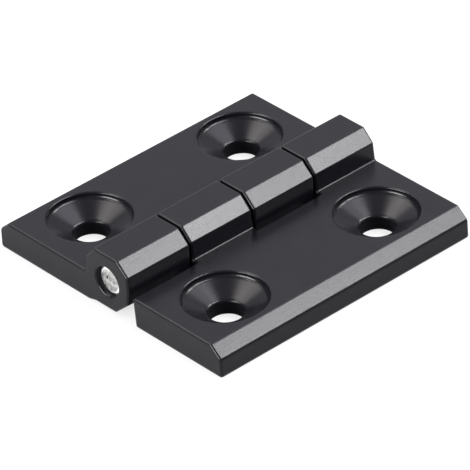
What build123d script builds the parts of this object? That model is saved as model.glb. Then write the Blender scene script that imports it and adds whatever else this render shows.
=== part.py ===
from build123d import *
import os

# ---------------------------------------------------------------------------
# Cabinet hinge, 50 x 50 mm, laid open and flat.
# Frame: X across the hinge (left leaf at -X, right leaf at +X), Y along the
# pin, Z up. Z = 0 is the mounting face of both leaves, and the origin is in
# the middle of the hinge. The near end of the pin is at -Y.
# ---------------------------------------------------------------------------

# overall
length = 50.0            # along the pin
leaf_width = 25.0        # pin axis to the free edge of a leaf
leaf_thick = 5.1         # plate thickness
pin_axis_z = 5.25        # height of the pin axis over the mounting face

# plate edges
edge_chamfer_x = 2.15    # bevel along the free edge, across
edge_chamfer_z = 1.80    # bevel along the free edge, down
free_wall_draft = 0.05   # the free wall leans in by this much at its top
inner_wall_x = 5.60      # pin axis to the plate's wall beside the other leaf's barrels
inner_wall_draft = 0.30  # that wall leans back by this much at the mounting face

# barrels (four faceted segments on the pin, two on each leaf)
barrel_top_z = 10.1
barrel_bottom_z = 0.40
top_half = 2.6           # half width of the flat on top
facet_drop = 2.05        # height of the upper bevels
free_top_x = 4.80        # free side wall, upper end
free_mid_x = 4.78        # the free side wall is upright down to here,
free_mid_z = 5.20
free_low_x = 4.44        # and leans in from here to the lower bevel
free_low_z = 3.05
bottom_free_x = 1.35     # flat under the barrel ends here
bottom_back_x = -3.00    # and here, where it slopes down to the mounting face
slope_foot_x = -4.65
back_top_x = -4.60       # wall over the plate, upper end
back_low_x = -4.88       # wall over the plate, lower end
segment_gap = 0.30       # gap between neighbouring barrels

# rounding
edge_round = 0.42        # outer edges
shoulder_round = 0.85    # softer edge between the free wall and its bevel
foot_round = 0.60        # and at the foot of the free wall
barrel_long_round = 0.35 # edges along the barrels
wall_bend_round = 3.0    # soft bend in the free side wall
base_round = 0.35        # hollow where a barrel rises from its plate
corner_round = 0.20      # inside corners between a plate's inner wall and its barrels

# screw holes
hole_pitch_x = 15.25     # pin axis to hole centre
hole_pitch_y = 15.25     # middle of the hinge to hole centre
hole_d = 5.4
rim_d = 13.2             # recess at the top of the countersink
rim_depth = 0.86         # depth of the cone's upper edge under the plate's top
cone_depth = 2.70        # depth of the cone's lower edge under the plate's top
rim_round = 0.30         # rounded rim
rim_hollow = 0.84        # hollow between wall and cone
throat_round = 0.65      # rounded edge between cone and hole
hole_back_round = 0.20   # softened edge on the mounting face

# pin
pin_d = 5.0
bore_press_d = 4.98      # in the left leaf, which holds the pin by a press fit
bore_run_d = 5.10        # in the right leaf, which turns on it
pin_recess = 0.80        # pin ends lie this far inside the barrel ends
pin_chamfer = 0.35
bore_mouth_round = 0.35

half = length / 2
seg = length / 4
g = segment_gap / 2


def corner_at(sketch, x, y):
    """The corner of a section at the given place."""
    return [v for v in sketch.vertices() if abs(v.X - x) < 1e-6 and abs(v.Y - y) < 1e-6]


def plate_section():
    """Section of the plate, across the hinge, for the leaf at -X."""
    with BuildSketch(Plane.XZ) as s:
        with BuildLine():
            Polyline(
                (-leaf_width, 0.0),
                (-leaf_width + free_wall_draft, leaf_thick - edge_chamfer_z),
                (-leaf_width + edge_chamfer_x, leaf_thick),
                (-inner_wall_x, leaf_thick),
                (-inner_wall_x - inner_wall_draft, 0.0),
                close=True,
            )
        make_face()
        # in the sketch's own frame the section's height is its Y
        fillet(corner_at(s, -leaf_width + free_wall_draft, leaf_thick - edge_chamfer_z), shoulder_round)
        fillet(corner_at(s, -leaf_width, 0.0), foot_round)
    return s.sketch


def barrel_section():
    """Section of a barrel with the web that joins it to the plate at -X."""
    with BuildSketch(Plane.XZ) as s:
        with BuildLine():
            Polyline(
                (-inner_wall_x - 1.6, 0.0),
                (slope_foot_x, 0.0),
                (bottom_back_x, barrel_bottom_z),
                (bottom_free_x, barrel_bottom_z),
                (free_low_x, free_low_z),
                (free_mid_x, free_mid_z),
                (free_top_x, barrel_top_z - facet_drop),
                (top_half, barrel_top_z),
                (-top_half, barrel_top_z),
                (back_top_x, barrel_top_z - facet_drop),
                (back_low_x, leaf_thick),
                (-inner_wall_x - 1.6, leaf_thick),
                close=True,
            )
        make_face()
    return s.sketch


def along_y(section, y0, y1):
    """Section in X-Z, drawn out along Y from y0 to y1."""
    return extrude(Pos(0, y0, 0) * section, amount=y1 - y0, dir=(0, 1, 0))


def countersink_void():
    """Turned void of one screw hole about Z: hole, cone and straight rim wall."""
    r0, r1 = hole_d / 2, rim_d / 2
    z_cone, z_wall = leaf_thick - cone_depth, leaf_thick - rim_depth
    with BuildSketch(Plane.XZ) as s:
        with BuildLine():
            Polyline(
                (0, -1.0), (r0, -1.0), (r0, z_cone), (r1, z_wall),
                (r1, leaf_thick + 1.0), (0, leaf_thick + 1.0),
                close=True,
            )
        make_face()
        # in the sketch's own frame the section's height is its Y
        fillet(corner_at(s, r0, z_cone), throat_round)
        fillet(corner_at(s, r1, z_wall), rim_hollow)
    return revolve(s.sketch, Axis.Z)


def is_long(e, x, z, tol=1e-3):
    """True for a straight edge along Y at the given x and z."""
    p, q = e @ 0, e @ 1
    return (
        e.geom_type == GeomType.LINE
        and abs(p.X - x) < tol and abs(q.X - x) < tol
        and abs(p.Z - z) < tol and abs(q.Z - z) < tol
    )


def sharp_edges(body):
    """Edges whose two faces meet at more than a few degrees."""
    found = []
    faces = [(f, f.edges()) for f in body.faces()]
    for e in body.edges():
        m = e @ 0.5
        normals = [f.normal_at(m) for f, es in faces if any(x.is_same(e) for x in es)]
        if len(normals) != 2 or normals[0].get_angle(normals[1]) > 8:
            found.append(e)
    return found


def inside_corners(body):
    """Steep edges where the plate's inner wall meets the end of a barrel's web."""
    found = []
    for e in body.edges():
        p, q = e @ 0, e @ 1
        if (
            abs(p.Z - q.Z) > 2 and abs(p.Y - q.Y) < 1e-6
            and abs(max(p.X, q.X) + inner_wall_x) < 0.1 and abs(p.Y) < half - 1
        ):
            found.append(e)
    return found


def ring_edges(body, radius, axis_point, along, tol=2e-3):
    """Full circles of a radius whose centre is axis_point in the directions across 'along'."""
    out = []
    for e in body.edges():
        if e.geom_type != GeomType.CIRCLE or abs(e.radius - radius) > tol:
            continue
        c = e.arc_center
        d = [c.X - axis_point[0], c.Y - axis_point[1], c.Z - axis_point[2]]
        if all(abs(d[i]) < tol for i in range(3) if i != along):
            out.append((e, [c.X, c.Y, c.Z][along]))
    return out


def leaf(bore_d):
    """One leaf as cast, on the -X side, with barrels 1 and 3 counted from -Y."""
    plate = along_y(plate_section(), -half, half)
    barrel = barrel_section()
    body = plate + along_y(barrel, -half, -half + seg - g) + along_y(barrel, g, seg - g)

    # hollow where each barrel rises from its plate
    body = fillet([e for e in body.edges() if is_long(e, back_low_x, leaf_thick)], base_round)

    # long edges of the barrels
    corners = [
        (back_top_x, barrel_top_z - facet_drop),
        (-top_half, barrel_top_z),
        (top_half, barrel_top_z),
        (free_top_x, barrel_top_z - facet_drop),
        (free_low_x, free_low_z),
        (bottom_free_x, barrel_bottom_z),
    ]
    long_edges = [e for e in body.edges() for c in corners if is_long(e, *c)]
    body = fillet(long_edges, barrel_long_round)
    bend = [e for e in body.edges() if is_long(e, free_mid_x, free_mid_z)]
    body = fillet(bend, wall_bend_round)

    # every other edge of the casting, then the inside corners
    inside = inside_corners(body)
    outer = [e for e in sharp_edges(body) if not any(e.is_same(c) for c in inside)]
    body = fillet(outer, edge_round)
    body = fillet(inside_corners(body), corner_round)

    # two countersunk holes, with a rounded rim and a softened back edge
    void = countersink_void()
    for sy in (-1, 1):
        cx, cy = -hole_pitch_x, sy * hole_pitch_y
        body = body - Pos(cx, cy, 0) * void
    for sy in (-1, 1):
        at = (-hole_pitch_x, sy * hole_pitch_y, 0)
        rim = [e for e, z in ring_edges(body, rim_d / 2, at, 2) if abs(z - leaf_thick) < 1e-3]
        body = fillet(rim, rim_round)
        back = [e for e, z in ring_edges(body, hole_d / 2, at, 2) if abs(z) < 1e-3]
        body = fillet(back, hole_back_round)

    # bore for the pin, with a rounded mouth at the outer end
    bore = Pos(0, 0, pin_axis_z) * Rot(90, 0, 0) * Cylinder(bore_d / 2, length + 4)
    body = body - bore
    at = (0, 0, pin_axis_z)
    mouth = [e for e, y in ring_edges(body, bore_d / 2, at, 1) if abs(y + half) < 1e-3]
    body = fillet(mouth, bore_mouth_round)
    return body.solids()[0] if len(body.solids()) == 1 else body


def pin():
    """Round steel pin along Y, bevelled at both ends."""
    p = Cylinder(pin_d / 2, length - 2 * pin_recess)
    p = chamfer(p.edges().filter_by(GeomType.CIRCLE), pin_chamfer)
    return Pos(0, 0, pin_axis_z) * Rot(90, 0, 0) * p


def main():
    os.makedirs("parts", exist_ok=True)
    # both leaves are the same casting, turned half a turn about Z
    nodes = {
        "leaf_left": leaf(bore_press_d),
        "leaf_right": Rot(0, 0, 180) * leaf(bore_run_d),
        "hinge_pin": pin(),
    }
    for name, shape in nodes.items():
        shape.label = name
        export_step(shape, f"parts/{name}.step")
        print(name, round(shape.volume, 2), len(shape.solids()), len(shape.faces()), shape.is_valid)


if __name__ == "__main__":
    main()
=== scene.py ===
import math

import bpy
import numpy as np
from mathutils import Matrix, Vector

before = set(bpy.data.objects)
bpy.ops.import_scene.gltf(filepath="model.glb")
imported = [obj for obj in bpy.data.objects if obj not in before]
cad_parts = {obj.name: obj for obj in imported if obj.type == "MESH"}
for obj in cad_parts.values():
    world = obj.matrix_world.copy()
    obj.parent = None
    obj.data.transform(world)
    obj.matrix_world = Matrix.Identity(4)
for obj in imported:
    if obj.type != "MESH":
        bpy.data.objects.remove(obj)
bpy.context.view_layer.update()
scene = bpy.context.scene
MM = 0.001


# ---------------------------------------------------------------------------
# small helpers for node materials
# ---------------------------------------------------------------------------

def new_material(name):
    mat = bpy.data.materials.new(name)
    mat.use_nodes = True
    nt = mat.node_tree
    nt.nodes.clear()
    out = nt.nodes.new("ShaderNodeOutputMaterial")
    bsdf = nt.nodes.new("ShaderNodeBsdfPrincipled")
    nt.links.new(bsdf.outputs[0], out.inputs[0])
    return mat, nt, bsdf


def add(nt, kind, **inputs):
    n = nt.nodes.new(kind)
    for k, v in inputs.items():
        n.inputs[k.replace("_", " ")].default_value = v
    return n


def mm_coords(nt):
    """Object coordinates in millimetres: the objects sit at the origin, so these are the part's own."""
    tc = nt.nodes.new("ShaderNodeTexCoord")
    mp = nt.nodes.new("ShaderNodeVectorMath")
    mp.operation = "SCALE"
    mp.inputs["Scale"].default_value = 1000.0
    nt.links.new(tc.outputs["Object"], mp.inputs[0])
    return mp.outputs[0]


def noise(nt, vec, scale, detail=2.0, rough=0.5, distortion=0.0):
    n = nt.nodes.new("ShaderNodeTexNoise")
    n.inputs["Scale"].default_value = scale
    n.inputs["Detail"].default_value = detail
    n.inputs["Roughness"].default_value = rough
    n.inputs["Distortion"].default_value = distortion
    nt.links.new(vec, n.inputs["Vector"])
    return n.outputs["Fac"]


def ramp(nt, fac, lo, hi, out_lo, out_hi):
    m = nt.nodes.new("ShaderNodeMapRange")
    m.inputs["From Min"].default_value = lo
    m.inputs["From Max"].default_value = hi
    m.inputs["To Min"].default_value = out_lo
    m.inputs["To Max"].default_value = out_hi
    nt.links.new(fac, m.inputs["Value"])
    return m.outputs[0]


def mixrgb(nt, fac, a, b):
    m = nt.nodes.new("ShaderNodeMix")
    m.data_type = "RGBA"
    if isinstance(fac, (int, float)):
        m.inputs[0].default_value = fac
    else:
        nt.links.new(fac, m.inputs[0])
    for sock, v in ((m.inputs[6], a), (m.inputs[7], b)):
        if isinstance(v, tuple):
            sock.default_value = (*v, 1.0)
        else:
            nt.links.new(v, sock)
    return m.outputs[2]


# ---------------------------------------------------------------------------
# materials
# ---------------------------------------------------------------------------

def coating():
    """Satin black coating on a die casting: almost black, with a fine pebbled surface."""
    mat, nt, b = new_material("black_coating")
    v = mm_coords(nt)
    fine = noise(nt, v, 3.2, 3.0, 0.55)
    cloud = noise(nt, v, 0.35, 2.0, 0.5)
    bore = near_holes(nt, v, 15.25, 15.25)
    col = mixrgb(nt, ramp(nt, cloud, 0.3, 0.7, 0.0, 1.0), (0.0019, 0.0019, 0.0030), (0.0027, 0.0027, 0.0039))
    nt.links.new(col, b.inputs["Base Color"])
    satin = ramp(nt, fine, 0.2, 0.8, 0.225, 0.26)
    rough = add(nt, "ShaderNodeMapRange", To_Max=0.7)
    nt.links.new(bore, rough.inputs["Value"])
    nt.links.new(satin, rough.inputs["To Min"])
    nt.links.new(rough.outputs[0], b.inputs["Roughness"])
    # the drilled walls of the screw holes took little coating, and are dull
    nt.links.new(ramp(nt, bore, 0.0, 1.0, 0.5, 0.10), b.inputs["Specular IOR Level"])
    b.inputs["IOR"].default_value = 1.27
    bump = nt.nodes.new("ShaderNodeBump")
    bump.inputs["Strength"].default_value = 0.22
    bump.inputs["Distance"].default_value = 0.00003
    nt.links.new(fine, bump.inputs["Height"])
    nt.links.new(bump.outputs[0], b.inputs["Normal"])
    return mat


def near_holes(nt, vec, hx, hy):
    """1 on the walls of the four screw holes, which lie at (+-hx, +-hy), and 0 elsewhere."""
    fold = nt.nodes.new("ShaderNodeVectorMath")
    fold.operation = "ABSOLUTE"
    nt.links.new(vec, fold.inputs[0])
    off = nt.nodes.new("ShaderNodeVectorMath")
    off.operation = "SUBTRACT"
    off.inputs[1].default_value = (hx, hy, 0.0)
    nt.links.new(fold.outputs[0], off.inputs[0])
    return ramp(nt, flat_length(nt, off.outputs[0], (1.0, 1.0, 0.0)), 2.71, 2.75, 1.0, 0.0)


def flat_length(nt, vec, keep):
    """Length of a vector with only the kept components."""
    m = nt.nodes.new("ShaderNodeVectorMath")
    m.operation = "MULTIPLY"
    m.inputs[1].default_value = keep
    nt.links.new(vec, m.inputs[0])
    n = nt.nodes.new("ShaderNodeVectorMath")
    n.operation = "LENGTH"
    nt.links.new(m.outputs[0], n.inputs[0])
    return n.outputs["Value"]


def from_point(nt, vec, point, keep):
    """Distance from a point, counting only the kept components."""
    off = nt.nodes.new("ShaderNodeVectorMath")
    off.operation = "SUBTRACT"
    off.inputs[1].default_value = point
    nt.links.new(vec, off.inputs[0])
    return flat_length(nt, off.outputs[0], keep)


def pin_steel():
    """Bright steel pin with a roughly cut end, a painted highlight ring round the rim of its end and painted
    shade for a small pit.
    """
    mat, nt, b = new_material("pin_steel")
    v = mm_coords(nt)
    coarse = noise(nt, v, 1.6, 3.0, 0.6, 0.4)
    fine = noise(nt, v, 7.0, 3.0, 0.6)
    col = mixrgb(nt, ramp(nt, coarse, 0.35, 0.65, 0.0, 1.0), (0.22, 0.22, 0.22), (0.62, 0.63, 0.61))
    # painted highlight: past 1.95 mm from the pin axis the steel is painted near-white, standing in for a
    # lit chamfer round the end
    painted_highlight_rim = ramp(nt, from_point(nt, v, (-0.25, 0.0, 5.05), (1.0, 0.0, 1.0)), 1.75, 1.95, 0.0, 1.0)
    col = mixrgb(nt, painted_highlight_rim, col, (0.97, 0.97, 0.98))
    # painted shade: a small near-black spot on the pin end stands in for the shade inside a pit
    painted_shade_pit = ramp(nt, from_point(nt, v, (-0.79, -24.2, 5.43), (1.0, 0.05, 0.7)), 0.16, 0.30, 1.0, 0.0)
    col = mixrgb(nt, painted_shade_pit, col, (0.03, 0.03, 0.03))
    nt.links.new(col, b.inputs["Base Color"])
    b.inputs["Metallic"].default_value = 1.0
    nt.links.new(ramp(nt, fine, 0.3, 0.7, 0.30, 0.5), b.inputs["Roughness"])
    bump = nt.nodes.new("ShaderNodeBump")
    bump.inputs["Strength"].default_value = 0.5
    bump.inputs["Distance"].default_value = 0.0001
    nt.links.new(coarse, bump.inputs["Height"])
    nt.links.new(bump.outputs[0], b.inputs["Normal"])
    return mat


def wear(obj, mat):
    if not obj.material_slots:
        obj.data.materials.append(mat)
    for s in obj.material_slots:
        s.material = mat


black = coating()
steel = pin_steel()
wear(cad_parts["leaf_left"], black)
wear(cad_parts["leaf_right"], black)
wear(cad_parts["hinge_pin"], steel)


# ---------------------------------------------------------------------------
# floor
# ---------------------------------------------------------------------------

def floor():
    me = bpy.data.meshes.new("studio_floor")
    s = 3.0
    me.from_pydata([(-s, -s, 0), (s, -s, 0), (s, s, 0), (-s, s, 0)], [], [(0, 1, 2, 3)])
    o = bpy.data.objects.new("studio_floor", me)
    scene.collection.objects.link(o)
    mat, nt, b = new_material("floor_white")
    v = mm_coords(nt)
    n = noise(nt, v, 0.02, 2.0)
    nt.links.new(mixrgb(nt, n, (0.14, 0.14, 0.14), (0.16, 0.16, 0.16)), b.inputs["Base Color"])
    b.inputs["Roughness"].default_value = 0.9
    b.inputs["Specular IOR Level"].default_value = 0.0
    b.inputs["Emission Color"].default_value = (1.0, 1.0, 1.0, 1.0)
    b.inputs["Emission Strength"].default_value = 0.71
    me.materials.append(mat)
    return o


floor()


# ---------------------------------------------------------------------------
# camera
# ---------------------------------------------------------------------------

def camera():
    az, el, roll = math.radians(50.108), math.radians(34.019), math.radians(-3.882)
    f_px, dist, cx, cy = 4972.6, 747.4, 233.71, 228.35
    d = Vector((math.cos(el) * math.sin(az), -math.cos(el) * math.cos(az), math.sin(el)))
    right = Vector((math.cos(az), math.sin(az), 0))
    up = d.cross(right)
    r = math.cos(roll) * right + math.sin(roll) * up
    u = -math.sin(roll) * right + math.cos(roll) * up
    ox = (cx - 235) * dist / f_px
    oy = -(cy - 235) * dist / f_px
    c = Vector((0, 0, 2.5)) + dist * d - ox * r - oy * u
    cam = bpy.data.cameras.new("camera")
    o = bpy.data.objects.new("camera", cam)
    scene.collection.objects.link(o)
    m = Matrix((r, u, d)).transposed().to_4x4()
    m.translation = c * MM
    o.matrix_world = m
    cam.sensor_width = 36.0
    cam.lens = f_px * 36.0 / 470.0
    cam.clip_start, cam.clip_end = 0.01, 20.0
    scene.camera = o
    return o


camera()


# ---------------------------------------------------------------------------
# light
# ---------------------------------------------------------------------------

def softbox(name, az, el, dist, size, radiance, colour=(1, 1, 1), size_y=None, shape="RECTANGLE"):
    """Area light seen from the origin at azimuth az (degrees from +X towards +Y) and elevation el."""
    a, e = math.radians(az), math.radians(el)
    v = Vector((math.cos(e) * math.cos(a), math.cos(e) * math.sin(a), math.sin(e)))
    li = bpy.data.lights.new(name, "AREA")
    li.shape = shape
    li.size = size
    li.size_y = size_y or size
    area = li.size * li.size_y * (math.pi / 4 if shape in ("DISK", "ELLIPSE") else 1)
    li.energy = radiance * math.pi * area
    li.color = colour
    o = bpy.data.objects.new(name, li)
    o.location = v * dist
    o.rotation_mode = "QUATERNION"
    o.rotation_quaternion = v.to_track_quat("Z", "Y")
    o.visible_camera = False
    scene.collection.objects.link(o)
    return o


# a bright, fairly narrow key at the right and behind, a soft glow around it, and fills at the left and above
WHITE, COOL, WARM = (1.0, 1.0, 1.0), (0.97, 0.95, 1.08), (1.05, 0.98, 0.95)
for name, az, el, w, h, radiance, colour in (
    ("key", 41.0, 40.4, 0.24, 0.162, 48.5, (0.99, 0.985, 1.015)),
    ("key_top", 32.5, 47.9, 0.22, 0.112, 12.0, WHITE),
    ("key_right", 19, 50.5, 0.26, 0.15, 28.0, WHITE),
    ("key_left", 65, 32.5, 0.24, 0.14, 46.0, WHITE),
    ("key_glow", 41, 48, 0.66, 0.62, 3.8, WHITE),
    ("high_back", 79, 66, 0.14, 0.23, 11.5, (0.98, 0.97, 1.05)),
    ("fill_back", 94, 52, 0.30, 0.26, 5.1, COOL),
    ("fill_back_high", 112, 62, 0.30, 0.26, 4.0, COOL),
    ("fill_back_low", 103, 30, 0.35, 0.34, 0.65, COOL),
    ("edge_back", 73, 41, 0.16, 0.12, 34.0, WHITE),
    ("fill_left_high", 195, 64, 0.32, 0.28, 8.8, WARM),
    ("fill_left", 188, 50, 0.32, 0.28, 5.7, WARM),
    ("fill_left_front", 220, 42, 0.34, 0.40, 6.3, WHITE),
    ("wall_back", 151, 38, 0.80, 0.55, 0.84, (0.98, 0.94, 1.04)),
    ("wall_back_low", 140, 9, 1.50, 0.33, 0.60, (0.97, 0.95, 1.05)),
    ("edge_front", 243, 50, 0.20, 0.15, 30.0, WHITE),
    ("front", 264, 17, 0.72, 0.30, 36.0, WHITE),
):
    softbox(name, az, el, 1.0, w, radiance, colour, size_y=h)

world = bpy.data.worlds.new("studio")
scene.world = world
world.use_nodes = True
bg = world.node_tree.nodes["Background"]
bg.inputs[0].default_value = (0.97, 0.97, 1.0, 1.0)
bg.inputs[1].default_value = 0.58

scene.view_settings.view_transform = "Standard"
scene.view_settings.look = "None"
scene.view_settings.exposure = 0.0
scene.view_settings.gamma = 1.0
